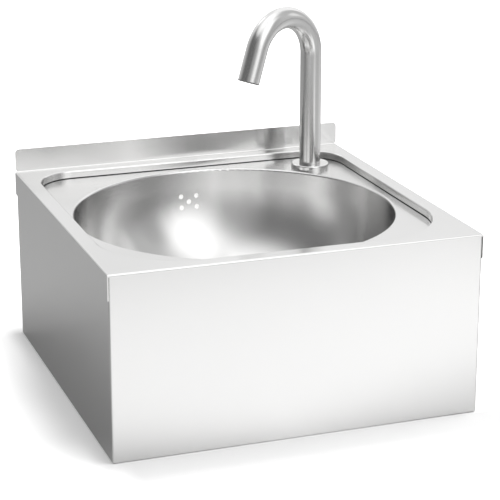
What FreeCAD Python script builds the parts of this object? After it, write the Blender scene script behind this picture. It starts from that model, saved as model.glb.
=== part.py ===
import FreeCAD, Part
import math
import os
from FreeCAD import Placement, Rotation, Vector

# Wall-hung stainless steel hand wash sink: a folded sheet cabinet, a pressed round bowl with an
# overflow and a grid waste, and a swan-neck spout that swivels in its corner of the bowl plate.
# Origin at the centre of the underside, X to the right, Y towards the wall, Z up. Millimetres.

# Cabinet
body_width = 450.0          # over the deck's side flanges
body_depth = 450.0          # front face to wall
deck_height = 222.0         # underside to deck
sheet = 1.2                 # cabinet sheet
bend = 1.2                  # inside radius of its folds
upstand_height = 30.0       # above the deck, along the wall
upstand_corner = 5.0
upstand_inset = 1.0         # from the deck's sides
side_flange = 30.0          # the deck folds down over the side panels
front_lip = 3.2             # and this far over the front panel
panel_gap = 0.05            # side flange to side panel
panel_head_gap = 1.3        # top of the side panels to the deck's underside
return_flange = 15.0        # inward folds of the panels
mitre_gap = 0.6             # slit where two inward folds meet

# Recess in the deck
deck_border = 20.0
recess_depth = 10.0         # deck to bowl plate
recess_front_corner = 100.0
recess_rear_corner = 50.0
seal_height = 1.0           # black joint under the recess wall
seal_width = 4.0
seal_proud = 0.2            # how far the joint shows in front of the wall

# Rails across the open back
rail_height = 80.0          # hanging rail, under the deck
brace_height = 45.0         # lower brace
wall_bolt_spacing = 300.0
wall_bolt_hole = 8.5
wall_slot_length = 24.0
brace_hole_height = 28.0    # above the underside

# Bowl
bowl_sheet = 1.0
bowl_x = -3.0
bowl_y = -4.0
bowl_border = 9.0           # recess wall to the line of the bowl's wall, on the shorter side
rim_round = 3.0
bowl_depth = 150.0          # plate to the edge of the waste dish
wall_draft = 2.0            # degrees
floor_ring = 32.0           # straight floor between the dish and the heel, which is one large round
floor_slope = 2.0           # degrees
dish_radius = 38.0          # sunk seat of the waste
dish_depth = 3.5
dish_round = 2.0
waste_hole = 52.5           # diameter
plate_gap = 3.0             # edge of the bowl plate to the panels
plate_corner = 12.0
pad_inner = 46.0            # radii of the sound-deadening pad
pad_outer = 104.0
pad_thickness = 2.5
pad_gap = 0.05

# Studs that hold the bowl plate up to the deck
stud_diameter = 4.0
stud_length = 19.0
stud_hole = 4.8
thread_gap = 0.05           # between a thread and its nut or screw
stud_spread = 125.0         # from the middle of each side
nut_flats = 7.0
nut_height = 3.2
washer_outer = 9.0
washer_thickness = 0.8

# Waste
strainer_radius = 35.0
strainer_thickness = 1.5
strainer_skirt = 12.0       # below the seat
strainer_holes = ((8, 17.5), (4, 9.8))      # count and ring radius
strainer_hole = 6.0
skirt_gap = 0.35
strainer_seal_inset = 1.5   # behind the edge of what it lies under
waste_seal_inset = 1.0
upper_seal_height = 1.0
lower_seal_height = 3.0
waste_flange_radius = 36.0
waste_flange_height = 4.0
waste_cup_radius = 30.0
waste_wall = 2.5
waste_throat = 6.0          # height of the cone into the tail
tail_diameter = 47.8
tail_wall = 3.0
tail_end = 1.5              # above the cabinet's underside
spider_drop = 14.0          # below the cup's top
spider_height = 6.0
spider_arm = 4.0
spider_boss = 6.0
waste_screw_diameter = 6.0
waste_screw_head = 5.6      # radius
waste_screw_length = 26.0
waste_screw_crown = 2.2     # height of its domed head
screw_hole_gap = 0.2
screw_slot_width = 1.2
screw_slot_depth = 1.3

# Overflow
overflow_drop = 52.0        # deck to the middle hole
overflow_shift = 3.0        # the holes sit this far to the right of the bowl's middle
overflow_hole = 6.0
overflow_spread_x = 21.0
overflow_spread_z = 14.4
gasket_thickness = 2.0
cup_width = 42.0
cup_height = 40.0
cup_wall = 2.5
cup_round = 4.0
ear_reach = 12.0
ear_height = 18.0
ear_thickness = 3.5
overflow_stud_length = 11.0

# Hose from the overflow to the waste
hose_bore = 16.0
hose_wall = 1.3
rib_height = 1.7
rib_pitch = 6.0
hose_bend = 45.0
spigot_length = 18.0
spigot_gap = 0.1
hose_gap = 1.5              # ribs to the bowl's wall
inlet_head = 2.0            # waste flange to the ribs under it
inlet_foot = 2.0            # inlet to the waste cup's foot
notch_gap = 5.0             # round the hose in the hanging rail
clip_width = 7.0
clip_thickness = 1.0
clip_screw_length = 12.0
clip_screw_diameter = 5.0

# Tap base
tap_inset_x = 46.0          # recess wall to the tap's axis
tap_inset_y = 49.0
escutcheon_diameter = 50.0
escutcheon_height = 6.5
escutcheon_wall = 1.7
escutcheon_top = 1.1
escutcheon_round = 1.8
tap_hole = 27.4
tap_seal_height = 1.0
tap_seal_inset = 0.5
collar_diameter = 45.0
collar_height = 4.2
shank_diameter = 26.4
shank_length = 48.0         # below the bowl plate's top
shank_hole_gap = 0.2        # in the seal and the washers
inlet_diameter = 20.95
inlet_length = 18.0
inlet_bore = 13.0
rubber_washer_height = 2.0
steel_washer_height = 1.5
under_washer_diameter = 40.0
tap_nut_flats = 36.0
tap_nut_height = 8.0

# Swivel
stem_diameter = 18.0
stem_gap = 0.05
stem_length = 26.0          # below the spout's end
stem_foot_gap = 1.0         # to the foot of its socket
stem_bore = 12.0
plug_length = 20.0          # inside the spout
push_gap = 0.03             # pieces pushed into one another
oring_section = 1.8
oring_levels = (11.0, 19.0)  # below the spout's end
groove_width = 2.6
thrust_height = 0.6
swivel_reach = 60.0         # degrees each way
grub_diameter = 3.0
grub_point = 2.0
grub_engagement = 1.0
grub_shoulder = 1.0         # stem to the full thickness
grub_setback = 0.6          # inside the cover ring
grub_angle = 45.0           # towards the rear right corner
track_clearance = 0.25

# Spout
spout_diameter = 28.0
spout_wall = 1.5
spout_heading = 206.5       # degrees from X
spout_bend_height = 144.0   # deck to the start of the bend
spout_bend = 53.0
spout_sweep = 159.0         # degrees
spout_end = 43.0
spout_hole_gap = 0.3
aerator_recess = 1.0
aerator_length = 9.0
aerator_wall = 1.8
aerator_holes = ((1, 0.0), (6, 4.2), (10, 7.6))
aerator_hole = 1.8
aerator_disc = 2.5
aerator_disc_inset = 1.0
cartridge_wall = 1.2
aerator_seal = 1.5
aerator_seal_width = 2.0

# Earth terminal on the brace
earth_x = -180.0
earth_diameter = 6.0
earth_bolt_length = 16.0
earth_flats = 10.0
earth_head = 4.0
earth_nut_height = 5.0
earth_washer_height = 1.6
earth_washer_outer = 12.5
earth_hole_gap = 0.2

# Planes and faces that several pieces share
half_width = body_width / 2
half_depth = body_depth / 2
bend_outside = bend + sheet
deck_under = deck_height - sheet
panel_face = half_width - sheet - panel_gap
panel_inside = panel_face - sheet
front_inside = sheet - half_depth
wall_inside = half_depth - sheet
recess_half_width = half_width - deck_border
recess_half_depth = half_depth - deck_border
bowl_radius = min(recess_half_width, recess_half_depth) - bowl_border
hose_root = hose_bore + 2 * hose_wall
hose_crest = hose_root + 2 * rib_height
tap_x = recess_half_width - tap_inset_x
tap_y = recess_half_depth - tap_inset_y
plate_top = deck_height - recess_depth
plate_under = plate_top - bowl_sheet
dish_edge = plate_top - bowl_depth
waste_seat = dish_edge - dish_depth
waste_under = waste_seat - bowl_sheet
cup_top = waste_under - lower_seal_height
overflow_level = deck_height - overflow_drop
inlet_level = cup_top - waste_flange_height - inlet_head - hose_crest / 2
cup_foot = inlet_level - hose_bore / 2 - inlet_foot
throat_foot = cup_foot - waste_throat
collar_bottom = plate_top + tap_seal_height
collar_top = collar_bottom + collar_height
spout_foot = collar_top + thrust_height
escutcheon_level = plate_top + escutcheon_height
earth_y = wall_inside - return_flange / 2
earth_place = (earth_x, earth_y)
bowl_centre = (bowl_x, bowl_y)
tap_centre = (tap_x, tap_y)
margin = 1.0                # how far a cutting body reaches past the sheet it cuts
fine = 1e-3                 # for picking edges by their place


def box(x, y, z):
    return Part.makeBox(x[1] - x[0], y[1] - y[0], z[1] - z[0], Vector(x[0], y[0], z[0]))


def cylinder(radius, z, centre=(0.0, 0.0)):
    return Part.makeCylinder(radius, z[1] - z[0], Vector(centre[0], centre[1], z[0]))


def ring(outer, inner, z, centre=(0.0, 0.0)):
    return cylinder(outer, z, centre).cut(cylinder(inner, z, centre))


def rod(radius, start, end):
    return Part.makeCylinder(radius, (end - start).Length, start, end - start)


def hexagon(flats, start, end):
    # A six-sided bar along any axis.
    around = [math.radians(60 * side) for side in range(7)]
    reach = flats / 2 / math.cos(math.radians(30))
    outline = Part.makePolygon([Vector(reach * math.cos(a), reach * math.sin(a), 0) for a in around])
    bar = Part.Face(outline).extrude(Vector(0, 0, (end - start).Length))
    bar.Placement = Placement(start, Rotation(Vector(0, 0, 1), end - start))
    return bar


def round_edges(shape, radius, wanted):
    return shape.makeFillet(radius, [edge for edge in shape.Edges if wanted(edge.BoundBox)])


def corner_arc(before, corner, after, radius):
    # First tangent point, middle and second tangent point of the arc that rounds a corner.
    back = (before - corner).normalize()
    ahead = (after - corner).normalize()
    half_angle = back.getAngle(ahead) / 2
    reach = radius / math.tan(half_angle)
    middle = (back + ahead).normalize() * (radius / math.sin(half_angle) - radius)
    return corner + back * reach, corner + middle, corner + ahead * reach


def rounded_edges(points, radii, closed=False):
    # Lines through the points, with an arc at each corner that has a radius.
    stations = []
    for index, point in enumerate(points):
        if radii[index] > 0:
            after = points[(index + 1) % len(points)]
            stations.append(corner_arc(points[index - 1], point, after, radii[index]))
        else:
            stations.append((point, None, point))
    edges = []
    for index, (start, middle, end) in enumerate(stations):
        if middle:
            edges.append(Part.Arc(start, middle, end).toShape())
        following = stations[(index + 1) % len(stations)][0]
        last = index == len(stations) - 1
        if (closed or not last) and end.distanceToPoint(following) > 1e-6:
            edges.append(Part.makeLine(end, following))
    return edges


def offset_path(points, radii, distance):
    # The same path, moved to its left in the XZ plane, with its radii changed to suit.
    headings = [(b - a).normalize() for a, b in zip(points, points[1:])]
    lefts = [Vector(-h.z, 0, h.x) for h in headings]
    moved = [points[0] + lefts[0] * distance]
    new_radii = [0.0]
    for index in range(1, len(points) - 1):
        before, after = lefts[index - 1], lefts[index]
        moved.append(points[index] + (before + after) * (distance / (1 + before.dot(after))))
        turns_left = headings[index - 1].dot(after) < 0
        new_radii.append(radii[index] - distance if turns_left else radii[index] + distance)
    moved.append(points[-1] + lefts[-1] * distance)
    new_radii.append(0.0)
    return moved, new_radii


def rounded_prism(half_x, half_y, front_corner, rear_corner, z):
    corners = [Vector(-half_x, -half_y, z[0]), Vector(half_x, -half_y, z[0]),
               Vector(half_x, half_y, z[0]), Vector(-half_x, half_y, z[0])]
    radii = [front_corner, front_corner, rear_corner, rear_corner]
    outline = Part.Wire(rounded_edges(corners, radii, closed=True))
    return Part.Face(outline).extrude(Vector(0, 0, z[1] - z[0]))


def recess_prism(grow, z):
    return rounded_prism(recess_half_width + grow, recess_half_depth + grow,
                         recess_front_corner + grow, recess_rear_corner + grow, z)


def deck():
    # Top, side flanges and front lip: one block inside another, folded edges rounded on both.
    flange_foot = deck_height - side_flange
    top = deck_height - fine
    outer = box((-half_width, half_width), (-half_depth, half_depth), (flange_foot, deck_height))
    outer = round_edges(outer, bend_outside, lambda b: b.ZMin > top and b.YMin < half_depth - fine)
    inner = box((sheet - half_width, half_width - sheet), (front_inside, half_depth + sheet),
                (flange_foot - sheet, deck_under))
    inner_top = deck_under - fine
    inner = round_edges(inner, bend, lambda b: b.ZMin > inner_top and b.YMin < half_depth)
    tray = outer.cut(inner)
    below_lip = box((sheet - half_width, half_width - sheet), (-half_depth, front_inside),
                    (flange_foot, deck_height - front_lip))
    tray = tray.cut(below_lip)

    # Upstand along the wall, with its fold.
    fold_half = half_width - bend_outside
    fold_line = half_depth - bend_outside
    corner_block = box((-fold_half, fold_half), (fold_line, half_depth), (flange_foot, deck_height))
    path = [Vector(0, wall_inside, deck_height + bend_outside),
            Vector(0, wall_inside, deck_height), Vector(0, fold_line, deck_height)]
    front_face = rounded_edges(path, [0.0, bend, 0.0])
    back_path = [Vector(0, fold_line, deck_under), Vector(0, half_depth, deck_under),
                 Vector(0, half_depth, deck_height + bend_outside)]
    back_face = rounded_edges(back_path, [0.0, bend_outside, 0.0])
    closing = [Part.makeLine(path[-1], back_path[0]), Part.makeLine(back_path[-1], path[0])]
    section = Part.Face(Part.Wire(Part.__sortEdges__(front_face + back_face + closing)))
    section.translate(Vector(-fold_half, 0, 0))
    fold = section.extrude(Vector(2 * fold_half, 0, 0))
    blade_half = half_width - upstand_inset
    blade = box((-blade_half, blade_half), (wall_inside, half_depth),
                (deck_height + bend_outside, deck_height + upstand_height))
    blade_top = deck_height + upstand_height
    blade = round_edges(blade, upstand_corner,
                        lambda b: b.ZMax > blade_top - fine and b.XLength < fine and b.ZLength < fine)
    tray = tray.cut(corner_block).fuse([fold, blade]).removeSplitter()

    # Turned-down wall of the recess.
    wall_foot = plate_top + seal_height
    wall = recess_prism(sheet, (wall_foot, deck_under)).cut(recess_prism(0, (wall_foot, deck_under)))
    tray = tray.cut(recess_prism(0, (deck_under - sheet, deck_height))).fuse(wall).removeSplitter()
    limit = recess_half_width + 2 * sheet

    def on_opening(bounds, level):
        flat = bounds.ZLength < fine and abs(bounds.ZMin - level) < fine
        return flat and max(abs(bounds.XMin), abs(bounds.XMax)) < limit

    tray = round_edges(tray, bend, lambda b: on_opening(b, deck_under))
    return round_edges(tray, bend_outside, lambda b: on_opening(b, deck_height))


def body_wrap():
    # Front and sides in one sheet, with inward folds along the underside and up the wall.
    head = deck_under - panel_head_gap
    outer = box((-panel_face, panel_face), (-half_depth, half_depth), (0, head))
    inner = box((-panel_inside, panel_inside), (front_inside, wall_inside), (sheet, head + sheet))

    def folded(bounds):
        upright_corner = bounds.ZLength > return_flange
        foot = bounds.ZMax < sheet + fine
        return upright_corner or (foot and bounds.YMin < wall_inside - fine)

    shell = round_edges(outer, bend_outside, folded).cut(round_edges(inner, bend, folded))
    flange_line = panel_face - return_flange
    foot_opening = box((-flange_line, flange_line), (return_flange - half_depth, half_depth),
                       (-sheet, 2 * sheet))
    rail_foot = deck_under - rail_height
    back_opening = box((-flange_line, flange_line), (wall_inside - bend, half_depth + sheet),
                       (0, head))
    back_head = box((-panel_inside, panel_inside), (wall_inside - bend, half_depth + sheet),
                    (rail_foot - sheet, head))
    back_head_corners = box((-panel_face, panel_face), (half_depth - bend_outside, half_depth + sheet),
                            (rail_foot - sheet, head))
    front_head = box((-panel_face, panel_face), (-half_depth, front_inside + bend),
                     (deck_height - front_lip, head + sheet))
    shell = shell.cut(foot_opening).cut([back_opening, back_head, back_head_corners, front_head])
    for side in (-1, 1):
        slit = box((-mitre_gap / 2, mitre_gap / 2), (bend_outside * 1.5, 2 * return_flange),
                   (-sheet, 2 * sheet))
        slit.rotate(Vector(0, 0, 0), Vector(0, 0, 1), 45 * side)
        slit.translate(Vector(side * panel_face, -half_depth, 0))
        shell = shell.cut(slit)
    return shell


def recess_seal():
    span = (plate_top, plate_top + seal_height)
    return recess_prism(seal_width - seal_proud, span).cut(recess_prism(-seal_proud, span))


def hanging_rail():
    foot = deck_under - rail_height
    outer = box((-panel_inside, panel_inside), (half_depth - return_flange, half_depth),
                (foot, deck_under))
    inner = box((sheet - panel_inside, panel_inside - sheet),
                (half_depth - 2 * return_flange, wall_inside), (foot + sheet, deck_height))

    def folded(bounds):
        at_back = bounds.YMin > wall_inside - sheet
        along_foot = bounds.ZMax < foot + 2 * sheet
        return (at_back and bounds.ZMin < deck_under - fine) or (along_foot and bounds.YLength > sheet)

    rail = round_edges(outer, bend_outside, folded).cut(round_edges(inner, bend, folded))
    rail = rail.cut(cylinder(hose_crest / 2 + notch_gap, (foot - margin, foot + 2 * sheet),
                             (bowl_x, spigot_y())))
    level = (foot + deck_under) / 2
    straight = (wall_slot_length - wall_bolt_hole) / 2
    for side in (-1, 1):
        middle = side * wall_bolt_spacing / 2
        rail = rail.cut(box((middle - straight, middle + straight), (wall_inside - sheet, half_depth),
                            (level - wall_bolt_hole / 2, level + wall_bolt_hole / 2)))
        for end in (-straight, straight):
            start = Vector(middle + end, wall_inside - sheet, level)
            rail = rail.cut(rod(wall_bolt_hole / 2, start, start + Vector(0, 3 * sheet, 0)))
    return rail


def rear_brace():
    # A channel that lies against the wrap's wall flanges and stands on its underside folds.
    back = wall_inside
    end = panel_inside - bend
    outer = box((-end, end), (back - return_flange, back), (sheet, sheet + brace_height))
    inner = box((-panel_face, panel_face), (back - 2 * return_flange, back - sheet),
                (2 * sheet, brace_height))

    def folded(bounds):
        return bounds.XLength > 2 * sheet and bounds.YMin > back - 2 * sheet

    brace = round_edges(outer, bend_outside, folded).cut(round_edges(inner, bend, folded))
    for side in (-1, 1):
        start = Vector(side * wall_bolt_spacing / 2, back - 2 * sheet, brace_hole_height)
        brace = brace.cut(rod(wall_bolt_hole / 2, start, start + Vector(0, 3 * sheet, 0)))
    top = sheet + brace_height
    return brace.cut(cylinder(earth_diameter / 2 + earth_hole_gap, (top - 2 * sheet, top), earth_place))


def bowl_path():
    # Upper face of the bowl's sheet from the plate to the waste hole, as radius and height.
    draft = math.tan(math.radians(wall_draft))
    slope = math.tan(math.radians(floor_slope))
    heel_drop = (bowl_depth - (bowl_radius - dish_radius) * slope) / (1 - draft * slope)
    heel_radius = bowl_radius - heel_drop * draft
    floor_reach = (heel_radius - dish_radius - floor_ring) / math.cos(math.radians(floor_slope))
    heel_round = floor_reach / math.tan(math.radians(90 - wall_draft - floor_slope) / 2)
    points = [(bowl_radius + 2 * rim_round, plate_top), (bowl_radius, plate_top),
              (heel_radius, plate_top - heel_drop), (dish_radius, dish_edge),
              (dish_radius - dish_depth, waste_seat), (waste_hole / 2, waste_seat)]
    return [Vector(r, 0, z) for r, z in points], [0.0, rim_round, heel_round, dish_round, dish_round, 0.0]


def wall_radius(level):
    # Radius of the bowl's upper face at a height in its wall or heel.
    across = Part.makeLine(Vector(dish_radius, 0, level), Vector(bowl_radius + rim_round, 0, level))
    profile = Part.Wire(rounded_edges(*bowl_path()))
    return profile.distToShape(across)[1][0][0].x


def turned(edges, angle=360.0):
    # A closed outline in the XZ plane, turned about the bowl's axis.
    body = Part.Face(Part.Wire(Part.__sortEdges__(edges))).revolve(Vector(), Vector(0, 0, 1), angle)
    body.translate(Vector(bowl_x, bowl_y, 0))
    return body


def bowl_band(near, far):
    # The layer that lies between two distances behind the bowl's upper face.
    points, radii = bowl_path()
    near_points, near_radii = offset_path(points, radii, near)
    far_points, far_radii = offset_path(points, radii, far)
    ends = [Part.makeLine(near_points[0], far_points[0]), Part.makeLine(near_points[-1], far_points[-1])]
    return turned(rounded_edges(near_points, near_radii) + rounded_edges(far_points, far_radii) + ends)


def bowl_envelope(distance):
    # Everything inside the bowl and its sheet, out to a distance behind the upper face.
    points, radii = offset_path(*bowl_path(), distance)
    foot = Vector(0, 0, points[-1].z)
    head = Vector(0, 0, points[0].z)
    closing = [Part.makeLine(points[-1], foot), Part.makeLine(foot, head), Part.makeLine(head, points[0])]
    return turned(rounded_edges(points, radii) + closing)


def overflow_places():
    middle = bowl_x + overflow_shift
    places = [(middle, overflow_level)]
    for x in (-overflow_spread_x / 2, overflow_spread_x / 2):
        for z in (-overflow_spread_z / 2, overflow_spread_z / 2):
            places.append((middle + x, overflow_level + z))
    return places


def stud_places():
    side_line = (panel_inside + recess_half_width + sheet) / 2
    end_line = (wall_inside + recess_half_depth + sheet) / 2
    places = [(x, y) for x in (-side_line, side_line) for y in (-stud_spread, stud_spread)]
    return places + [(x, y) for x in (-stud_spread, stud_spread) for y in (-end_line, end_line)]


def bowl():
    pressing = bowl_band(0, bowl_sheet)
    plate = rounded_prism(panel_inside - plate_gap, wall_inside - plate_gap, plate_corner, plate_corner,
                          (plate_under, plate_top))
    plate = plate.cut(cylinder(bowl_radius + 2 * rim_round, (plate_under, plate_top), bowl_centre))
    pressing = pressing.fuse(plate).removeSplitter()
    through = (plate_under - margin, plate_top + margin)
    pressing = pressing.cut(cylinder(tap_hole / 2, through, tap_centre))
    for place in stud_places():
        pressing = pressing.cut(cylinder(stud_hole / 2, through, place))
    for x, z in overflow_places():
        start = Vector(x, bowl_y + bowl_radius / 2, z)
        pressing = pressing.cut(rod(overflow_hole / 2, start, start + Vector(0, bowl_radius, 0)))
    return pressing


def damping_pad():
    layer = bowl_band(bowl_sheet + pad_gap, bowl_sheet + pad_gap + pad_thickness)
    return layer.common(ring(pad_outer, pad_inner, (0, plate_under), bowl_centre))


def bowl_studs():
    studs = [cylinder(stud_diameter / 2, (deck_under - stud_length, deck_under), place)
             for place in stud_places()]
    return Part.makeCompound(studs)


def bowl_washers():
    span = (plate_under - washer_thickness, plate_under)
    return Part.makeCompound([ring(washer_outer / 2, stud_hole / 2, span, p) for p in stud_places()])


def bowl_nuts():
    top = plate_under - washer_thickness
    nuts = []
    for x, y in stud_places():
        nut = hexagon(nut_flats, Vector(x, y, top - nut_height), Vector(x, y, top))
        nuts.append(nut.cut(cylinder(stud_diameter / 2 + thread_gap, (top - nut_height, top), (x, y))))
    return Part.makeCompound(nuts)


def waste_strainer():
    # A dished grid with a rim that lies in the waste seat and a skirt through the bowl's hole.
    rim_under = waste_seat + upper_seal_height
    rim_top = rim_under + strainer_thickness
    skirt_outer = waste_hole / 2 - skirt_gap
    skirt_inner = skirt_outer - strainer_thickness
    grid_top = rim_top - dish_depth
    rim = ring(strainer_radius, skirt_inner, (rim_under, rim_top), bowl_centre)
    rim = round_edges(rim, strainer_thickness / 2,
                      lambda b: b.ZMin > rim_top - fine and b.XLength > 2 * strainer_radius - margin)
    skirt = ring(skirt_outer, skirt_inner, (waste_seat - strainer_skirt, rim_under), bowl_centre)
    grid = cylinder(skirt_inner, (grid_top - strainer_thickness, grid_top), bowl_centre)
    strainer = rim.fuse([skirt, grid]).removeSplitter()
    through = (grid_top - 2 * strainer_thickness, rim_top)
    for count, radius in strainer_holes:
        for index in range(count):
            angle = 2 * math.pi * (index + 0.5) / count
            place = (bowl_x + radius * math.cos(angle), bowl_y + radius * math.sin(angle))
            strainer = strainer.cut(cylinder(strainer_hole / 2, through, place))
    return strainer.cut(cylinder(waste_screw_diameter / 2 + screw_hole_gap, through, bowl_centre))


def strainer_seal():
    return ring(strainer_radius - strainer_seal_inset, waste_hole / 2,
                (waste_seat, waste_seat + upper_seal_height), bowl_centre)


def waste_screw():
    grid_top = waste_seat + upper_seal_height + strainer_thickness - dish_depth
    crown = grid_top + waste_screw_crown
    dome_radius = 2 * waste_screw_head
    dome = Part.makeSphere(dome_radius, Vector(bowl_x, bowl_y, crown - dome_radius))
    head = dome.common(cylinder(waste_screw_head, (grid_top, crown), bowl_centre))
    shaft = cylinder(waste_screw_diameter / 2, (grid_top - waste_screw_length, grid_top), bowl_centre)
    half_slot = screw_slot_width / 2
    slot = box((bowl_x - waste_screw_head, bowl_x + waste_screw_head),
               (bowl_y - half_slot, bowl_y + half_slot), (crown - screw_slot_depth, crown))
    return head.fuse(shaft).removeSplitter().cut(slot)


def waste_seal():
    return ring(waste_flange_radius - waste_seal_inset, waste_hole / 2, (cup_top, waste_under),
                bowl_centre)


def waste_body():
    # Cup, cone and threaded tail turned in one, with a spider for the screw and a side inlet.
    cup_inner = waste_cup_radius - waste_wall
    tail_outer = tail_diameter / 2
    tail_inner = tail_outer - tail_wall
    outline = [(cup_inner, cup_top), (waste_flange_radius, cup_top),
               (waste_flange_radius, cup_top - waste_flange_height),
               (waste_cup_radius, cup_top - waste_flange_height), (waste_cup_radius, cup_foot),
               (tail_outer, throat_foot), (tail_outer, tail_end), (tail_inner, tail_end),
               (tail_inner, throat_foot), (cup_inner, cup_foot + waste_wall)]
    corners = [Vector(r, 0, z) for r, z in outline]
    body = turned([Part.makeLine(a, b) for a, b in zip(corners, corners[1:] + corners[:1])])

    spider = (cup_top - spider_drop - spider_height, cup_top - spider_drop)
    body = body.fuse(cylinder(spider_boss, spider, bowl_centre))
    for heading in (30, 150, 270):
        arm = box((0, cup_inner + waste_wall / 2), (-spider_arm / 2, spider_arm / 2), spider)
        arm.rotate(Vector(), Vector(0, 0, 1), heading)
        arm.translate(Vector(bowl_x, bowl_y, 0))
        body = body.fuse(arm)
    spigot_start = Vector(bowl_x, bowl_y + cup_inner + waste_wall / 2, inlet_level)
    spigot_end = Vector(bowl_x, bowl_y + waste_cup_radius + spigot_length, inlet_level)
    body = body.fuse(rod(hose_bore / 2 - spigot_gap, spigot_start, spigot_end))
    way_start = Vector(bowl_x, bowl_y + spider_boss, inlet_level)
    inlet_way = rod(hose_bore / 2 - waste_wall, way_start, spigot_end)
    body = body.removeSplitter().cut(inlet_way)
    return body.cut(cylinder(waste_screw_diameter / 2 + thread_gap, (0, cup_top), bowl_centre))


def overflow_gasket():
    layer = bowl_band(bowl_sheet, bowl_sheet + gasket_thickness)
    half = cup_width / 2
    window = half - cup_wall
    depth = (bowl_y, half_depth)
    frame = box((bowl_x - half, bowl_x + half), depth,
                (overflow_level - cup_height / 2, overflow_level + cup_height / 2))
    frame = frame.cut(box((bowl_x - window, bowl_x + window), depth,
                          (overflow_level - cup_height / 2 + cup_wall,
                           overflow_level + cup_height / 2 - cup_wall)))
    return layer.common(frame)


def ear_seat():
    # Face that the overflow cup's nuts press on.
    return bowl_y + wall_radius(overflow_level) + bowl_sheet + gasket_thickness + ear_thickness


def spigot_y():
    # Behind the bowl's wall at the cup's foot, where the hose comes nearest to it.
    nearest = bowl_y + wall_radius(overflow_level - cup_height / 2) + bowl_sheet
    return nearest + hose_gap + hose_crest / 2


def overflow_back():
    return spigot_y() + hose_bore / 2 + cup_wall


def ear_x():
    return cup_width / 2 + ear_reach / 2


def overflow_cup():
    back = overflow_back()
    half = cup_width / 2
    low = overflow_level - cup_height / 2
    high = overflow_level + cup_height / 2
    shell = box((bowl_x - half, bowl_x + half), (bowl_y, back), (low, high))
    shell = round_edges(shell, cup_round, lambda b: b.YMin > back - fine or b.YLength > half)
    ears = box((bowl_x - half - ear_reach, bowl_x + half + ear_reach),
               (bowl_y, ear_seat()),
               (overflow_level - ear_height / 2, overflow_level + ear_height / 2))
    spigot_centre = (bowl_x, spigot_y())
    spigot = cylinder(hose_bore / 2 - spigot_gap, (low - spigot_length, low + cup_wall), spigot_centre)
    cup = shell.fuse([ears, spigot]).cut(bowl_envelope(bowl_sheet + gasket_thickness))
    cavity = box((bowl_x - half + cup_wall, bowl_x + half - cup_wall), (bowl_y, back - cup_wall),
                 (low + cup_wall, high - cup_wall))
    way = cylinder(hose_bore / 2 - cup_wall, (low - spigot_length, overflow_level), spigot_centre)
    cup = cup.cut(cavity).cut(way)
    for side in (-1, 1):
        start = Vector(bowl_x + side * ear_x(), bowl_y + bowl_radius / 2, overflow_level)
        cup = cup.cut(rod(stud_hole / 2, start, start + Vector(0, bowl_radius, 0)))
    return max(cup.Solids, key=lambda solid: solid.Volume)


def overflow_studs():
    studs = []
    for side in (-1, 1):
        start = Vector(bowl_x + side * ear_x(), bowl_y + bowl_radius / 2, overflow_level)
        end = Vector(start.x, ear_seat() + overflow_stud_length, overflow_level)
        studs.append(rod(stud_diameter / 2, start, end).cut(bowl_envelope(bowl_sheet)))
    return Part.makeCompound(studs)


def overflow_nuts():
    nuts = []
    for side in (-1, 1):
        start = Vector(bowl_x + side * ear_x(), ear_seat(), overflow_level)
        end = start + Vector(0, nut_height, 0)
        nuts.append(hexagon(nut_flats, start, end).cut(rod(stud_diameter / 2 + thread_gap, start, end)))
    return Part.makeCompound(nuts)


def hose_ends():
    start = Vector(bowl_x, spigot_y(), overflow_level - cup_height / 2)
    corner = Vector(bowl_x, spigot_y(), inlet_level)
    end = Vector(bowl_x, bowl_y + waste_cup_radius, inlet_level)
    return start, corner, end


def hose_station(distance):
    # Point and heading on the hose's middle line: down, round a quarter bend, then forward.
    start, corner, end = hose_ends()
    drop = start.z - corner.z - hose_bend
    quarter = hose_bend * math.pi / 2
    if distance < drop:
        return start - Vector(0, 0, distance), Vector(0, 0, -1)
    if distance < drop + quarter:
        angle = (distance - drop) / hose_bend
        centre = corner + Vector(0, -hose_bend, hose_bend)
        outward = Vector(0, math.cos(angle), -math.sin(angle))
        return centre + outward * hose_bend, Vector(0, -math.sin(angle), -math.cos(angle))
    forward = distance - drop - quarter
    return corner + Vector(0, -hose_bend - forward, 0), Vector(0, -1, 0)


def hose_length():
    start, corner, end = hose_ends()
    return start.z - corner.z + corner.y - end.y - (2 - math.pi / 2) * hose_bend


def hose_circle(distance, radius):
    place, heading = hose_station(distance)
    across = Vector(1, 0, 0)
    turn = Rotation(across, heading.cross(across), heading, "ZXY")
    circle = Part.makeCircle(radius)
    circle.Placement = Placement(place, turn)
    return Part.Wire(circle)


def overflow_hose():
    length = hose_length()
    cuff = hose_crest
    ribs = int((length - 2 * cuff) / rib_pitch)
    first = (length - ribs * rib_pitch) / 2
    circles = [hose_circle(0, hose_root / 2)]
    for rib in range(ribs):
        for part, diameter in ((0.05, hose_root), (0.3, hose_crest), (0.55, hose_crest), (0.8, hose_root)):
            circles.append(hose_circle(first + (rib + part) * rib_pitch, diameter / 2))
    circles.append(hose_circle(length, hose_root / 2))
    outside = Part.makeLoft(circles, True, True)
    start, corner, end = hose_ends()
    bore = hose_bore / 2
    turn_start = corner + Vector(0, 0, hose_bend)
    turn_end = corner - Vector(0, hose_bend, 0)
    disc = Part.Face(Part.Wire(Part.makeCircle(bore, turn_start, Vector(0, 0, 1))))
    bend_way = disc.revolve(corner + Vector(0, -hose_bend, hose_bend), Vector(-1, 0, 0), 90)
    way = rod(bore, start, turn_start).fuse([bend_way, rod(bore, turn_end, end)])
    print("hose length", round(length, 1), "ribs", ribs)
    return outside.cut(way)


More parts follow.
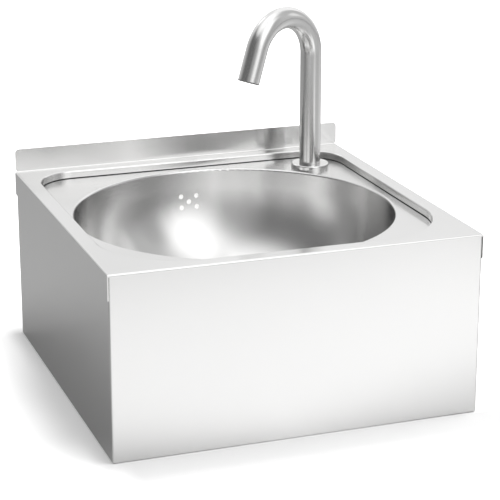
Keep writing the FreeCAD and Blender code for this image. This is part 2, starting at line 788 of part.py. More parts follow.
def hose_clips():
    clips = []
    for distance in (hose_crest / 2, hose_length() - hose_crest / 2):
        place, heading = hose_station(distance)
        half = heading * (clip_width / 2)
        inner = hose_root / 2 + spigot_gap
        outer = inner + clip_thickness
        band = rod(outer, place - half, place + half)
        tangent = heading.cross(Vector(1, 0, 0))
        seat = place + Vector(outer + clip_screw_diameter / 2 - clip_thickness / 2, 0, 0)
        housing = rod(clip_screw_diameter / 2, seat - tangent * (clip_screw_length / 2),
                      seat + tangent * (clip_screw_length / 2))
        clip = band.fuse(housing).removeSplitter()
        clips.append(clip.cut(rod(inner, place - heading * clip_width, place + heading * clip_width)))
    return Part.makeCompound(clips)


def escutcheon():
    radius = escutcheon_diameter / 2
    cover = cylinder(radius, (plate_top, escutcheon_level), tap_centre)
    cover = round_edges(cover, escutcheon_round, lambda b: b.ZMin > escutcheon_level - fine)
    cover = cover.cut(cylinder(radius - escutcheon_wall, (plate_top, escutcheon_level - escutcheon_top),
                               tap_centre))
    spout_hole = spout_diameter / 2 + spout_hole_gap
    cover = cover.cut(cylinder(spout_hole, (plate_top, escutcheon_level), tap_centre))
    return cover.cut(grub_rod(grub_diameter / 2 + screw_hole_gap, collar_diameter / 2, radius + margin))


def grub_rod(radius, near, far):
    # A bar along the grub screw's axis, between two distances from the tap's axis.
    angle = math.radians(grub_angle)
    outward = Vector(math.cos(angle), math.sin(angle), 0)
    middle = Vector(tap_x, tap_y, collar_bottom + collar_height / 2)
    return rod(radius, middle + outward * near, middle + outward * far)


def tap_seal():
    return ring(collar_diameter / 2 - tap_seal_inset, shank_diameter / 2 + shank_hole_gap,
                (plate_top, collar_bottom), tap_centre)


def tap_shank():
    # Collar on the plate, threaded shank through it, and the water inlet below.
    shank_foot = plate_top - shank_length
    shank = cylinder(shank_diameter / 2, (shank_foot, collar_bottom), tap_centre)
    inlet = cylinder(inlet_diameter / 2, (shank_foot - inlet_length, shank_foot), tap_centre)
    body = cylinder(collar_diameter / 2, (collar_bottom, collar_top), tap_centre).fuse([shank, inlet])
    socket_foot = spout_foot - stem_length - stem_foot_gap
    socket = cylinder(stem_diameter / 2 + stem_gap, (socket_foot, collar_top), tap_centre)
    way = cylinder(inlet_bore / 2, (shank_foot - inlet_length, socket_foot), tap_centre)
    body = body.removeSplitter().cut([socket, way])
    return body.cut(grub_rod(grub_diameter / 2 + thread_gap, 0, collar_diameter))


def under_washer(top, height):
    return ring(under_washer_diameter / 2, shank_diameter / 2 + shank_hole_gap, (top - height, top),
                tap_centre)


def tap_rubber_washer():
    return under_washer(plate_under, rubber_washer_height)


def tap_steel_washer():
    return under_washer(plate_under - rubber_washer_height, steel_washer_height)


def tap_nut():
    top = plate_under - rubber_washer_height - steel_washer_height
    nut = hexagon(tap_nut_flats, Vector(tap_x, tap_y, top - tap_nut_height), Vector(tap_x, tap_y, top))
    bore = shank_diameter / 2 + thread_gap
    return nut.cut(cylinder(bore, (top - tap_nut_height, top), tap_centre))


def grub_screw():
    tip = stem_diameter / 2 - grub_engagement
    shoulder = stem_diameter / 2 + grub_shoulder
    head = escutcheon_diameter / 2 - grub_setback
    screw = grub_rod(grub_diameter / 2, shoulder, head).fuse(grub_rod(grub_point / 2, tip, shoulder))
    return screw.removeSplitter().cut(grub_rod(grub_diameter / 4, head - grub_diameter / 2, head + margin))


def thrust_washer():
    outer = spout_diameter / 2 - spout_hole_gap
    return ring(outer, stem_diameter / 2 + stem_gap, (collar_top, spout_foot), tap_centre)


def swivel_stem():
    # Plug pressed into the spout above, journal with its ring grooves below.
    bore = spout_diameter / 2 - spout_wall - push_gap
    foot = spout_foot - stem_length
    stem = cylinder(stem_diameter / 2, (foot, spout_foot), tap_centre)
    stem = stem.fuse(cylinder(bore, (spout_foot, spout_foot + plug_length), tap_centre)).removeSplitter()
    stem = stem.cut(cylinder(stem_bore / 2, (foot, spout_foot + plug_length), tap_centre))
    groove_floor = stem_diameter / 2 + stem_gap - oring_section
    for level in oring_levels:
        middle = spout_foot - level
        stem = stem.cut(ring(stem_diameter, groove_floor,
                             (middle - groove_width / 2, middle + groove_width / 2), tap_centre))

    # Track for the grub screw's point, long enough for the swivel's reach each way.
    track_floor = stem_diameter / 2 - grub_engagement - track_clearance
    half_height = grub_point / 2 + track_clearance
    middle = collar_bottom + collar_height / 2
    point_width = math.degrees(math.asin((grub_point / 2 + track_clearance) / track_floor))
    half_track = swivel_reach + point_width
    start = Vector(track_floor, 0, middle - half_height)
    section = Part.makePolygon([start, start + Vector(stem_diameter, 0, 0),
                                start + Vector(stem_diameter, 0, 2 * half_height),
                                start + Vector(0, 0, 2 * half_height), start])
    track = Part.Face(section).revolve(Vector(), Vector(0, 0, 1), 2 * half_track)
    track.rotate(Vector(), Vector(0, 0, 1), grub_angle - half_track)
    track.translate(Vector(tap_x, tap_y, 0))
    return stem.cut(track)


def stem_orings():
    bore = stem_diameter / 2 + stem_gap
    middle = bore - oring_section / 2
    section = oring_section / 2 - push_gap
    centres = [Vector(tap_x, tap_y, spout_foot - level) for level in oring_levels]
    return Part.makeCompound([Part.makeTorus(middle, section, centre) for centre in centres])


def spout_frame():
    # Heading in plan, top of the straight leg, centre of the bend and the bend's axis.
    angle = math.radians(spout_heading)
    heading = Vector(math.cos(angle), math.sin(angle), 0)
    shoulder = Vector(tap_x, tap_y, deck_height + spout_bend_height)
    return heading, shoulder, shoulder + heading * spout_bend, Vector(0, 0, 1).cross(heading)


def spout_mouth():
    # Middle of the spout's mouth, and the way the water leaves.
    heading, shoulder, centre, axis = spout_frame()
    turn = Rotation(axis, spout_sweep)
    outlet = turn.multVec(Vector(0, 0, 1))
    bend_end = centre + turn.multVec(shoulder - centre)
    return bend_end + outlet * spout_end, outlet


def spout_solid(radius, foot):
    heading, shoulder, centre, axis = spout_frame()
    mouth, outlet = spout_mouth()
    disc = Part.Face(Part.Wire(Part.makeCircle(radius, shoulder, Vector(0, 0, 1))))
    arch = disc.revolve(centre, axis, spout_sweep)
    return rod(radius, Vector(tap_x, tap_y, foot), shoulder).fuse(
        [arch, rod(radius, mouth - outlet * spout_end, mouth)]).removeSplitter()


def spout():
    inside = spout_diameter / 2 - spout_wall
    return spout_solid(spout_diameter / 2, spout_foot).cut(spout_solid(inside, spout_foot))


def aerator_ring(outer, inner, near, far):
    # A ring inside the mouth, between two distances back from it.
    mouth, outlet = spout_mouth()
    start = mouth - outlet * far
    end = mouth - outlet * near
    return rod(outer, start, end).cut(rod(inner, start, end)) if inner else rod(outer, start, end)


def aerator_housing():
    outer = spout_diameter / 2 - spout_wall - push_gap
    inner = spout_diameter / 2 - spout_wall - aerator_wall
    return aerator_ring(outer, inner, aerator_recess, aerator_recess + aerator_length)


def aerator_cartridge():
    radius = spout_diameter / 2 - spout_wall - aerator_wall - push_gap
    near = aerator_recess
    far = aerator_recess + aerator_length - aerator_seal
    disc_near = near + aerator_disc_inset
    cup = aerator_ring(radius, radius - cartridge_wall, near, far)
    disc = aerator_ring(radius, 0, disc_near, disc_near + aerator_disc)
    cartridge = cup.fuse(disc).removeSplitter()
    mouth, outlet = spout_mouth()
    side = outlet.cross(Vector(0, 0, 1)).normalize()
    up = side.cross(outlet)
    for count, ring_radius in aerator_holes:
        for index in range(count):
            angle = 2 * math.pi * index / count
            place = mouth + side * (ring_radius * math.cos(angle)) + up * (ring_radius * math.sin(angle))
            cartridge = cartridge.cut(rod(aerator_hole / 2, place - outlet * far, place))
    return cartridge


def aerator_washer():
    radius = spout_diameter / 2 - spout_wall - aerator_wall - push_gap
    far = aerator_recess + aerator_length
    return aerator_ring(radius, radius - aerator_seal_width, far - aerator_seal, far)


def earth_bolt():
    # Head under the brace's top flange, thread upwards into the cabinet.
    flange_under = Vector(earth_x, earth_y, brace_height)
    head = hexagon(earth_flats, flange_under - Vector(0, 0, earth_head), flange_under)
    shaft = rod(earth_diameter / 2, flange_under, flange_under + Vector(0, 0, earth_bolt_length))
    return head.fuse(shaft).removeSplitter()


def earth_washer():
    foot = brace_height + sheet
    return ring(earth_washer_outer / 2, earth_diameter / 2 + earth_hole_gap,
                (foot, foot + earth_washer_height), earth_place)


def earth_nut():
    foot = brace_height + sheet + earth_washer_height
    head = foot + earth_nut_height
    nut = hexagon(earth_flats, Vector(earth_x, earth_y, foot), Vector(earth_x, earth_y, head))
    return nut.cut(cylinder(earth_diameter / 2 + thread_gap, (foot, head), earth_place))


pieces = {
    "deck": deck,
    "body_wrap": body_wrap,
    "recess_seal": recess_seal,
    "hanging_rail": hanging_rail,
    "rear_brace": rear_brace,
    "bowl": bowl,
    "damping_pad": damping_pad,
    "bowl_studs": bowl_studs,
    "bowl_washers": bowl_washers,
    "bowl_nuts": bowl_nuts,
    "waste_strainer": waste_strainer,
    "strainer_seal": strainer_seal,
    "waste_screw": waste_screw,
    "waste_seal": waste_seal,
    "waste_body": waste_body,
    "overflow_gasket": overflow_gasket,
    "overflow_cup": overflow_cup,
    "overflow_studs": overflow_studs,
    "overflow_nuts": overflow_nuts,
    "overflow_hose": overflow_hose,
    "hose_clips": hose_clips,
    "escutcheon": escutcheon,
    "tap_seal": tap_seal,
    "tap_shank": tap_shank,
    "tap_rubber_washer": tap_rubber_washer,
    "tap_steel_washer": tap_steel_washer,
    "tap_nut": tap_nut,
    "grub_screw": grub_screw,
    "thrust_washer": thrust_washer,
    "swivel_stem": swivel_stem,
    "stem_orings": stem_orings,
    "spout": spout,
    "aerator_housing": aerator_housing,
    "aerator_cartridge": aerator_cartridge,
    "aerator_washer": aerator_washer,
    "earth_bolt": earth_bolt,
    "earth_washer": earth_washer,
    "earth_nut": earth_nut,
}

os.makedirs("parts", exist_ok=True)
for name, make in pieces.items():
    shape = make()
    shape.exportStep("parts/" + name + ".step")
    bounds = shape.BoundBox
    print(name, "solids", len(shape.Solids), "valid", shape.isValid(), "volume", round(shape.Volume),
          "z", round(bounds.ZMin, 2), round(bounds.ZMax, 2))
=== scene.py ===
import math

import bpy
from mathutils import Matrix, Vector


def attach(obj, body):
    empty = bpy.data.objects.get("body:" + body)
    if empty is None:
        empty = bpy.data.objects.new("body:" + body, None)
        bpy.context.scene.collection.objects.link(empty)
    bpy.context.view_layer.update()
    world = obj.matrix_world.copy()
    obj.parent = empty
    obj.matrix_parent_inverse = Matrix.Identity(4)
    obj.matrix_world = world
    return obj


# Stainless steel hand wash sink: studio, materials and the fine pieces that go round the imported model.
# Lengths are in metres and angles in degrees.

print("loading the packed sink")
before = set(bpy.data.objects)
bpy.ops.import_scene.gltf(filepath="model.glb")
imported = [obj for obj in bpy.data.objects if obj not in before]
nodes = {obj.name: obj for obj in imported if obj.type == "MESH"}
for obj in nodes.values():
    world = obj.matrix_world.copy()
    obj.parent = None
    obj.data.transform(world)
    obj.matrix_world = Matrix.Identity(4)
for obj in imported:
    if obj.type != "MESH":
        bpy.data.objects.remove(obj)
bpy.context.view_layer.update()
bpy.ops.object.select_all(action="DESELECT")


class Wire:
    # One output socket, so that shader maths reads as arithmetic.
    def __init__(self, tree, socket):
        self.tree = tree
        self.socket = socket

    def __add__(self, other):
        return self.tree.maths("ADD", self, other)

    def __radd__(self, other):
        return self.tree.maths("ADD", other, self)

    def __sub__(self, other):
        return self.tree.maths("SUBTRACT", self, other)

    def __rsub__(self, other):
        return self.tree.maths("SUBTRACT", other, self)

    def __mul__(self, other):
        return self.tree.maths("MULTIPLY", self, other)

    def __rmul__(self, other):
        return self.tree.maths("MULTIPLY", other, self)

    def __truediv__(self, other):
        return self.tree.maths("DIVIDE", self, other)

    def between(self, low, high):
        # 0 below low and 1 above high, with soft ends; the two may be the other way round.
        return self.tree.add("ShaderNodeMapRange", {"interpolation_type": "SMOOTHSTEP"},
                             {"Value": self, "From Min": low, "From Max": high})


class Tree:
    # A node tree that is filled from Python expressions.
    def __init__(self, nodeTree):
        self.nodes = nodeTree.nodes
        self.links = nodeTree.links
        self.nodes.clear()

    def add(self, kind, settings=None, sockets=None, out=0):
        node = self.nodes.new(kind)
        for key, value in (settings or {}).items():
            setattr(node, key, value)
        for key, value in (sockets or {}).items():
            if isinstance(value, Wire):
                self.links.new(value.socket, node.inputs[key])
            else:
                node.inputs[key].default_value = value
        return Wire(self, node.outputs[out])

    def maths(self, operation, *values, clamp=False):
        return self.add("ShaderNodeMath", {"operation": operation, "use_clamp": clamp},
                        dict(enumerate(values)))

    def vectorMaths(self, operation, sockets, out="Vector"):
        return self.add("ShaderNodeVectorMath", {"operation": operation}, sockets, out)

    def place(self):
        return self.add("ShaderNodeTexCoord", out="Object")

    def split(self, vector):
        parts = self.add("ShaderNodeSeparateXYZ", sockets={"Vector": vector}).socket.node.outputs
        return [Wire(self, part) for part in parts]

    def joined(self, x, y, z):
        return self.add("ShaderNodeCombineXYZ", sockets={0: x, 1: y, 2: z})

    def colour(self, red, green, blue):
        return self.add("ShaderNodeCombineColor", sockets={0: red, 1: green, 2: blue})

    def along(self, vector, axis):
        # Dot product, for how far a direction leans towards an axis.
        return self.vectorMaths("DOT_PRODUCT", {0: vector, 1: axis}, out="Value")

    def noise(self, vector, scale=1.0, detail=2.0, rough=0.5):
        return self.add("ShaderNodeTexNoise", sockets={"Vector": vector, "Scale": scale,
                                                       "Detail": detail, "Roughness": rough})

    def rays(self):
        # Whether a ray comes from the camera, from a mirror or through something clear.
        outputs = self.nodes.new("ShaderNodeLightPath").outputs
        return [Wire(self, outputs[name]) for name in (
            "Is Camera Ray", "Is Glossy Ray", "Is Transmission Ray")]

    def surfaced(self, shader, kind="ShaderNodeOutputMaterial"):
        self.links.new(shader.socket, self.nodes.new(kind).inputs["Surface"])


def blank(name):
    # A new material and its empty tree.
    material = bpy.data.materials.new(name)
    material.use_nodes = True
    return material, Tree(material.node_tree)


def towards(azimuth, elevation):
    # Unit vector; azimuth 0 is the wall behind the sink, 90 its right and 180 its front.
    a, e = math.radians(azimuth), math.radians(elevation)
    return (math.sin(a) * math.cos(e), math.cos(a) * math.cos(e), math.sin(e))


def facing(turn, azimuth, half, soft):
    # 1 within a half width of an azimuth and 0 outside it, whichever way round is shorter.
    away = turn.tree.maths("ARCCOSINE", turn.tree.maths("COSINE", turn - math.radians(azimuth)))
    return away.between(math.radians(half + soft), math.radians(half - soft))


# Camera

camera = {"place": (-0.69525, -1.99688, 0.83129), "looks": (0.3208, 0.8974, -0.3030), "lens": 129.15,
          "sensor": 36.0, "near": 0.05, "far": 50.0}

print("placing the camera")
bpy.ops.object.camera_add(location=camera["place"])
eye = bpy.context.object
eye.name = "camera"
eye.rotation_euler = Vector(camera["looks"]).to_track_quat("-Z", "Y").to_euler()
eye.data.lens = camera["lens"]
eye.data.sensor_width = camera["sensor"]
eye.data.clip_start = camera["near"]
eye.data.clip_end = camera["far"]
bpy.context.scene.camera = eye
bpy.context.scene.view_settings.view_transform = "Standard"


# Studio: white for the camera, and a tent of pale and dark cards that only the steel mirrors

studio = {
    "sky": 0.50,  # how bright the world lights the sink
    "radius": 6.0, "segments": 48, "rings": 24,
    "tent": 0.93,
    "cards": (  # azimuth, half width, soft edge, lower and upper elevation, soft edge, tone
        (-102, 57, 29, 6, 53, 6, 0.16),
        (106, 42, 3, -35, 121, 9, 0.57),
        (38, 23, 4, 24, 60, 3, 1.11),
        (-43, 30, 6, 0, 15, 24, 0.36),
        (-169, 10, 23, -45, 43, 3, 0.14),
        (156, 24, 29, 21, 72, 24, 1.75),
        (-14, 7, 3, 32, 49, 3, 1.85),
        (96, 7, 3, 14, 33, 3, 0.94),
        (126, 10, 7, -37, 42, 7, 0.48),
        (-11, 164, 3, 69, 126, 16, 1.60),
    ),
}
lamp = {"azimuth": 112, "elevation": 64, "distance": 3.0, "size": 2.2, "power": 58.0}

print("lighting the studio")
world = bpy.data.worlds.new("studio")
bpy.context.scene.world = world
world.use_nodes = True
room = Tree(world.node_tree)
sky = studio["sky"]
dim = room.add("ShaderNodeBackground", sockets={"Color": (sky, sky, sky, 1)})
white = room.add("ShaderNodeBackground", sockets={"Color": (1, 1, 1, 1)})
cameraRay, mirrorRay, clearRay = room.rays()
shown = room.maths("ADD", cameraRay + mirrorRay, clearRay, clamp=True)
room.surfaced(room.add("ShaderNodeMixShader", sockets={0: shown, 1: dim, 2: white}), "ShaderNodeOutputWorld")

bpy.ops.mesh.primitive_uv_sphere_add(segments=studio["segments"], ring_count=studio["rings"],
                                     radius=studio["radius"])
tent = bpy.context.object
tent.name = "tent"
tent.visible_camera = False
tent.visible_diffuse = False
tent.visible_transmission = False
tent.visible_shadow = False
cloth, tree = blank("tentCards")
x, y, z = tree.split(tree.place())
turn = tree.maths("ARCTAN2", x, y)
rise = tree.maths("ARCSINE", z / studio["radius"])
tone = studio["tent"]
for azimuth, half, soft, low, high, softRise, grey in studio["cards"]:
    inside = facing(turn, azimuth, half, soft)
    inside = inside * rise.between(math.radians(low - softRise), math.radians(low + softRise))
    inside = inside * rise.between(math.radians(high + softRise), math.radians(high - softRise))
    tone = tone + inside * (grey - tone)
tree.surfaced(tree.add("ShaderNodeEmission", sockets={"Color": tree.colour(tone, tone, tone)}))
tent.data.materials.append(cloth)

aim = Vector(towards(lamp["azimuth"], lamp["elevation"]))
bpy.ops.object.light_add(type="AREA", location=aim * lamp["distance"])
softbox = bpy.context.object
softbox.name = "softbox"
softbox.rotation_euler = aim.to_track_quat("Z", "Y").to_euler()
softbox.data.size = lamp["size"]
softbox.data.energy = lamp["power"]
softbox.visible_glossy = False


# Floor: each pair of numbers says where a soft change starts and where it ends

floorPlan = {"size": 14.0, "tone": 0.92}
# Painted reflections: for mirror rays the floor's tone is painted, a bright painted pool of light in front of
# the sink and strips of other tones further off, which the steel mirrors.
mirroredFloor = {
    "tone": 0.50, "farOff": (0.50, 0.75),
    "strips": (  # azimuth, half width, soft edge, tone
        (-90, 12, 22, 0.26),
        (-141, 16, 16, 0.64),
        (70, 20, 20, 0.70),
        (148, 7, 12, 0.68),
    ),
    "pool": 1.17, "poolStart": (0.04, 0.34), "poolEnd": (1.15, 0.95), "poolSlope": 0.35,
    "poolMiddle": 0.06, "poolSide": (0.70, 0.42),
}
# The camera sees the real shadow with painted light over it: light added more with distance from the foot
# paints its fall-off to white. It is palest beside the rear and the near corner, where more light is added
# a little off the sink, and a faint painted shadow lies along the front, where little is.
seenFloor = {
    "foot": 0.225,  # half of the sink's square foot
    "light": 0.17, "clearing": (0.0, 0.085), "clearLight": 0.50, "horizon": (0.8, 3.0),
    "off": (0.0, 0.025), "rear": (-0.02, 0.22), "rearLight": 0.27,
    "corner": (0.12, 0.22), "cornerLight": 0.20,
    "front": (0.2245, 0.2285), "frontEnd": (0.36, 0.26), "frontSide": (-0.25, -0.20), "frontLoss": 0.92,
}

print("laying the floor")
bpy.ops.mesh.primitive_plane_add(size=floorPlan["size"], location=(0, 0, 0))
ground = bpy.context.object
ground.name = "floor"
paint, tree = blank("paleFloor")
cameraRay, mirrorRay, clearRay = tree.rays()
x, y, _ = tree.split(tree.place())
forward = y * -1.0
width, depth = tree.maths("ABSOLUTE", x), tree.maths("ABSOLUTE", y)

farOff = tree.maths("SQRT", x * x + y * y).between(*mirroredFloor["farOff"])
turn = tree.maths("ARCTAN2", x, y)
mirrorTone = mirroredFloor["tone"]
for azimuth, half, soft, grey in mirroredFloor["strips"]:
    mirrorTone = mirrorTone + farOff * facing(turn, azimuth, half, soft) * (grey - mirrorTone)
aside = tree.maths("ABSOLUTE", x - mirroredFloor["poolMiddle"])
pool = ((forward - width * mirroredFloor["poolSlope"]).between(*mirroredFloor["poolStart"])
        * forward.between(*mirroredFloor["poolEnd"]) * aside.between(*mirroredFloor["poolSide"]))
mirrorTone = mirrorTone + pool * (mirroredFloor["pool"] - mirrorTone)
tone = mirrorRay * mirrorTone + (1.0 - mirrorRay) * floorPlan["tone"]
body = tree.add("ShaderNodeBsdfDiffuse", sockets={"Color": tree.colour(tone, tone, tone)})

aside, ahead = [tree.maths("MAXIMUM", reach - seenFloor["foot"], 0.0) for reach in (width, depth)]
away = tree.maths("SQRT", aside * aside + ahead * ahead)
light = (away.between(*seenFloor["clearing"]) * seenFloor["clearLight"]
         + away.between(*seenFloor["horizon"]) + seenFloor["light"])
light = light + away.between(*seenFloor["off"]) * (
    y.between(*seenFloor["rear"]) * seenFloor["rearLight"]
    + forward.between(*seenFloor["corner"]) * seenFloor["cornerLight"])
paintedFrontShadow = (forward.between(*seenFloor["front"]) * forward.between(*seenFloor["frontEnd"])
              * x.between(*seenFloor["frontSide"]))
light = light * (1.0 - paintedFrontShadow * seenFloor["frontLoss"]) * (cameraRay + clearRay)
# Painted light on the floor for camera rays, with a painted shadow along the front.
paintedFloorLight = tree.add("ShaderNodeEmission", sockets={"Color": tree.colour(light, light, light)})
tree.surfaced(tree.add("ShaderNodeAddShader", sockets={0: body, 1: paintedFloorLight}))
ground.data.materials.append(paint)


# Metals

fineGrain = {"detail": 3.0, "rough": 0.6}


def finished(name, build):
    # A new material whose principled sockets come from the dictionary that build returns.
    material, tree = blank(name)
    tree.surfaced(tree.add("ShaderNodeBsdfPrincipled", sockets=build(tree)))
    return material


def dressed(material, *names):
    for name in names:
        obj = nodes[name]
        obj.data.materials.clear()
        obj.data.materials.append(material)


def spun(tree, shape):
    # The pressed bowl is turned about one axis, so its normal and its grinding lines are worked out
    # from that: rim, wall, heel and floor each lean by their own place in the profile. The mesh's own
    # normal stays where the two don't agree, as on the plate, and in the dish of the waste.
    x, y, z = tree.split(tree.place())
    x, y = x - shape["middle"][0], y - shape["middle"][1]
    far = tree.maths("SQRT", x * x + y * y)
    rimOut, rimUp = shape["rim"]
    heelOut, heelUp = shape["heel"]
    onRim = tree.maths("GREATER_THAN", z, shape["rimFoot"])
    below = 1.0 - onRim
    lean = (onRim * (tree.maths("MINIMUM", far, rimOut) - rimOut)
            + below * (heelOut - tree.maths("MAXIMUM", far, shape["heelFoot"])))
    rise = onRim * (z - rimUp) + below * (heelUp - tree.maths("MINIMUM", z, shape["heelHead"]))
    exact = tree.vectorMaths("NORMALIZE", {0: tree.joined(x / far * lean, y / far * lean, rise)})
    meshed = tree.add("ShaderNodeNewGeometry", out="Normal")
    same = tree.along(exact, meshed)
    faced = tree.vectorMaths("SCALE", {0: exact, "Scale": tree.maths("SIGN", same)})
    agreed = (tree.maths("GREATER_THAN", tree.maths("ABSOLUTE", same), shape["agree"])
              * tree.maths("GREATER_THAN", far, shape["dish"]))
    normal = tree.add("ShaderNodeMix", {"data_type": "VECTOR"}, {0: agreed, 4: meshed, 5: faced}, out=1)
    turn = tree.maths("ARCTAN2", y, x)
    return tree.joined(turn * shape["hoop"], far, z), normal


def sawn(tree, cut):
    # 1 in the last part of a tube before its end, and 0 elsewhere.
    offset = tree.vectorMaths("SUBTRACT", {0: tree.place(), 1: cut["middle"]})
    reach = tree.vectorMaths("LENGTH", {0: offset}, out="Value")
    return (tree.along(offset, cut["way"]).between(-cut["depth"], 0.0)
            * tree.maths("LESS_THAN", reach, cut["within"]))


def groundSteel(look):
    # Sheet or tube with its fine grinding lines along one axis.
    def build(tree):
        place = tree.place()
        along, normal = spun(tree, look["spun"]) if "spun" in look else (place, None)
        along = tree.add("ShaderNodeMapping", sockets={"Vector": along, "Scale": look["lines"]})
        lines = tree.noise(along, **fineGrain) - 0.5
        cloud = tree.noise(place, look["cloudScale"]) - 0.5
        shade = look["shade"] + lines * look["lineTone"] + cloud * look["cloudTone"]
        rough = look["rough"] + lines * look["lineRough"] + cloud * look["cloudRough"]
        metal = 1.0
        # Painted shade: the end of the tube is darkened almost to black and made dull and rough.
        if "cut" in look:
            mouthShade = sawn(tree, look["cut"])
            shade = shade * (1.0 - mouthShade * look["cut"]["dark"])
            rough = rough + mouthShade * (look["cut"]["rough"] - rough)
            metal = 1.0 - mouthShade
        relief = {"Strength": look["bump"], "Distance": look["lineDepth"], "Height": lines}
        if normal:
            relief["Normal"] = normal
        return {"Base Color": tree.colour(shade, shade * look["green"], shade * look["blue"]),
                "Metallic": metal, "Roughness": rough,
                "Normal": tree.add("ShaderNodeBump", sockets=relief),
                "Anisotropic": look["drawn"], "Anisotropic Rotation": look["drawnTurn"]}
    return build


sheetSteel = {"shade": 0.80, "green": 0.998, "blue": 0.993, "lines": (14, 2400, 2400), "lineTone": 0.02,
              "lineRough": 0.05, "lineDepth": 0.0001, "cloudScale": 9.0, "cloudTone": 0.02,
              "cloudRough": 0.02, "rough": 0.20, "bump": 0.03,
              "drawn": 0.85, "drawnTurn": 0.25}  # a quarter turn stretches the reflections up and down
# Middle of the bowl, and in its profile the centres of rim and heel and where each begins.
bowlShape = {"middle": (-0.003, -0.004), "rim": (0.1989, 0.2090), "rimFoot": 0.2091,
             "heel": (0.0655, 0.1928), "heelHead": 0.1883, "heelFoot": 0.0700, "dish": 0.0410,
             "agree": 0.90, "hoop": 0.1}
polished = {**sheetSteel, "lines": (2400, 2400, 30), "rough": 0.16, "drawn": 0.8}
# Middle of the spout's mouth, the way the water leaves it, and how dark and dull the painted shade at its end
# is.
mouthEnd = {"middle": (0.0535, 0.1034, 0.34485), "way": (-0.3207, -0.1599, -0.9336), "within": 0.03,
            "depth": 0.0008, "dark": 0.95, "rough": 0.95}

print("finishing the steel")
dressed(finished("satinSheet", groundSteel(sheetSteel)), "deck", "body_wrap")
dressed(finished("satinBowl", groundSteel({**sheetSteel, "rough": 0.21, "drawn": 0.9, "spun": bowlShape})),
        "bowl")
dressed(finished("millSheet", groundSteel({**sheetSteel, "shade": 0.68, "rough": 0.34})),
        "hanging_rail", "rear_brace")
dressed(finished("polishedTube", groundSteel({**polished, "cut": mouthEnd})), "spout")
dressed(finished("turnedRing", groundSteel({**polished, "rough": 0.13, "drawn": 0.5})),
        "escutcheon", "waste_strainer")
dressed(finished("fastenerSteel", groundSteel({**sheetSteel, "shade": 0.60, "rough": 0.30, "drawn": 0.0})),
        "bowl_studs", "bowl_washers", "bowl_nuts", "waste_screw", "overflow_studs", "overflow_nuts",
        "hose_clips", "tap_steel_washer", "grub_screw", "earth_bolt", "earth_washer", "earth_nut",
        "aerator_housing")


# Brass, rubber and plastic

def plain(look):
    def build(tree):
        grain = tree.noise(tree.place(), look["grain"], **fineGrain)
        mottled = (grain - 0.5) * look["mottle"] + 1.0
        colour = tree.colour(*[mottled * part for part in look["colour"]])
        relief = {"Strength": look["bump"], "Distance": look["grainDepth"], "Height": grain}
        sockets = {"Base Color": colour, "Metallic": look["metal"],
                   "Roughness": look["rough"] + (grain - 0.5) * look["roughMottle"],
                   "Normal": tree.add("ShaderNodeBump", sockets=relief)}
        if "through" in look:  # painted light: an emission that makes the plastic glow as if lit from behind
            sockets.update({"Emission Color": colour, "Emission Strength": look["through"]})
        return sockets
    return build


plastic = {"colour": (0.80, 0.80, 0.78), "grain": 900.0, "grainDepth": 0.0002, "mottle": 0.05, "rough": 0.42,
           "roughMottle": 0.10, "bump": 0.10, "metal": 0.0}

print("finishing brass, rubber and plastic")
dressed(finished("turnedBrass", plain({**plastic, "colour": (0.78, 0.60, 0.30), "metal": 1.0, "rough": 0.28})),
        "tap_shank", "tap_nut", "swivel_stem")
dressed(finished("mouldedWhite", plain(plastic)),
        "waste_body", "overflow_cup", "thrust_washer", "aerator_cartridge")
# This plastic glows with painted light.
finished("glowingPlastic", plain({**plastic, "colour": (0.88, 0.88, 0.87), "through": 0.55}))
dressed(finished("hoseGrey", plain({**plastic, "colour": (0.50, 0.51, 0.52), "rough": 0.5})),
        "overflow_hose")
dressed(finished("blackRubber", plain({**plastic, "colour": (0.025, 0.025, 0.026), "rough": 0.62})),
        "recess_seal", "waste_seal", "overflow_gasket", "tap_seal", "tap_rubber_washer", "stem_orings",
        "aerator_washer")
dressed(finished("whiteRubber", plain({**plastic, "colour": (0.74, 0.74, 0.71), "rough": 0.6})),
        "strainer_seal")
dressed(finished("bitumenPad", plain({**plastic, "colour": (0.09, 0.09, 0.095), "grain": 420.0,
                                      "mottle": 0.5, "rough": 0.78, "bump": 0.6})),
        "damping_pad")


# Fine pieces

sharpCorner = 30
samePoint = 1e-6


def placed(name, material):
    # Leaves the new piece at the origin with its place in its mesh, and hands it to the basin.
    piece = bpy.context.object
    piece.name = name
    bpy.ops.object.transform_apply(location=True, rotation=True, scale=True)
    bpy.ops.object.shade_smooth_by_angle(angle=math.radians(sharpCorner))
    piece.data.materials.append(bpy.data.materials[material])
    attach(piece, "basin")
    bpy.ops.object.select_all(action="DESELECT")


def modified(kind, **settings):
    step = bpy.context.object.modifiers.new(kind.lower(), kind)
    for key, value in settings.items():
        setattr(step, key, value)
    bpy.ops.object.modifier_apply(modifier=step.name)


def wound(look):
    # One ridge wound up a cylinder: a triangle on its wall, taken round and up, and closed at both ends.
    # The triangle is 1.5 times as tall as its corners are far out.
    size = (look["ridge"] + look["bite"]) / 1.5
    bpy.ops.mesh.primitive_circle_add(vertices=3, radius=size, rotation=(math.pi / 2, math.pi / 2, 0),
                                      location=(look["radius"] + look["ridge"] - size, 0, 0))
    ridge = bpy.context.object
    ridge.scale = (look["pitch"] * look["flank"] / size / math.sqrt(3), 1, 1)
    bpy.ops.object.transform_apply(location=True, rotation=True, scale=True)
    turns = int((look["head"] - look["foot"]) / look["pitch"])
    modified("SCREW", angle=math.tau, screw_offset=look["pitch"], iterations=turns,
             steps=look["steps"], render_steps=look["steps"], use_merge_vertices=False)
    bpy.ops.object.mode_set(mode="EDIT")
    bpy.ops.mesh.select_all(action="SELECT")
    bpy.ops.mesh.remove_doubles(threshold=samePoint)
    bpy.ops.mesh.fill_holes(sides=3)
    bpy.ops.mesh.select_all(action="SELECT")
    bpy.ops.mesh.normals_make_consistent(inside=False)
    bpy.ops.object.mode_set(mode="OBJECT")
    ridge.location = (*look["middle"], look["foot"])


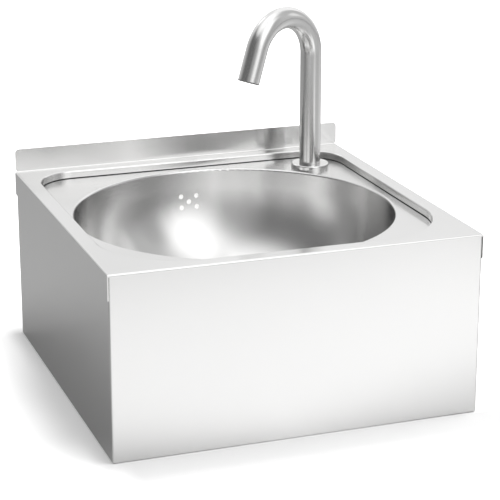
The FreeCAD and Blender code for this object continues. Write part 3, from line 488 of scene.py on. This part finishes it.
pipeThread = {"middle": (0.159, 0.156), "radius": 0.0132, "ridge": 0.00035, "bite": 0.0001,
              "flank": 0.92, "pitch": 0.0018, "foot": 0.1655, "head": 0.1990, "steps": 40}
inletThread = {**pipeThread, "radius": 0.010475, "foot": 0.1475, "head": 0.1635}
tailThread = {**pipeThread, "middle": bowlShape["middle"], "radius": 0.0239, "ridge": 0.0005,
              "pitch": 0.0023, "foot": 0.0040, "head": 0.0210, "steps": 56}
studThread = {**pipeThread, "radius": 0.0020, "ridge": 0.0001, "pitch": 0.0007, "foot": 0.2021,
              "head": 0.2069, "steps": 14}
studPlan = {"spread": 0.125, "sides": 0.21437, "ends": 0.215}

print("winding the threads")
wound(pipeThread)
placed("shank_thread", "turnedBrass")
wound(inletThread)
placed("inlet_thread", "turnedBrass")
wound(tailThread)
placed("tail_thread", "mouldedWhite")

bothWays = [(side, way) for side in (-1, 1) for way in (-1, 1)]
studPlaces = [(side * studPlan["sides"], way * studPlan["spread"]) for side, way in bothWays]
studPlaces += [(way * studPlan["spread"], side * studPlan["ends"]) for side, way in bothWays]
for middle in studPlaces:
    wound({**studThread, "middle": middle})
    millimetres = "_".join(str(round(c * 1000)).replace("-", "m") for c in middle)
    placed("stud_thread_" + millimetres, "fastenerSteel")

# The holes show white in the photo, so a white moulded grid closes them just behind the bowl's sheet.
# Its plastic glows with painted light, which makes the holes white.
strainer = {"middle": (-0.0015, 0.19107, 0.16967), "lean": 79.9, "width": 0.0320, "height": 0.0290,
            "bars": (20, 18), "bar": 0.00125}

print("closing the overflow")
barsAcross, barsUp = strainer["bars"]
bpy.ops.mesh.primitive_grid_add(x_subdivisions=barsAcross, y_subdivisions=barsUp, size=1.0,
                                location=strainer["middle"],
                                rotation=(math.radians(strainer["lean"]), 0, 0))
bpy.context.object.scale = (strainer["width"], strainer["height"], 1.0)
bpy.ops.object.transform_apply(location=True, rotation=True, scale=True)
modified("WIREFRAME", thickness=strainer["bar"], use_even_offset=True, use_replace=True)
placed("overflow_strainer", "glowingPlastic")
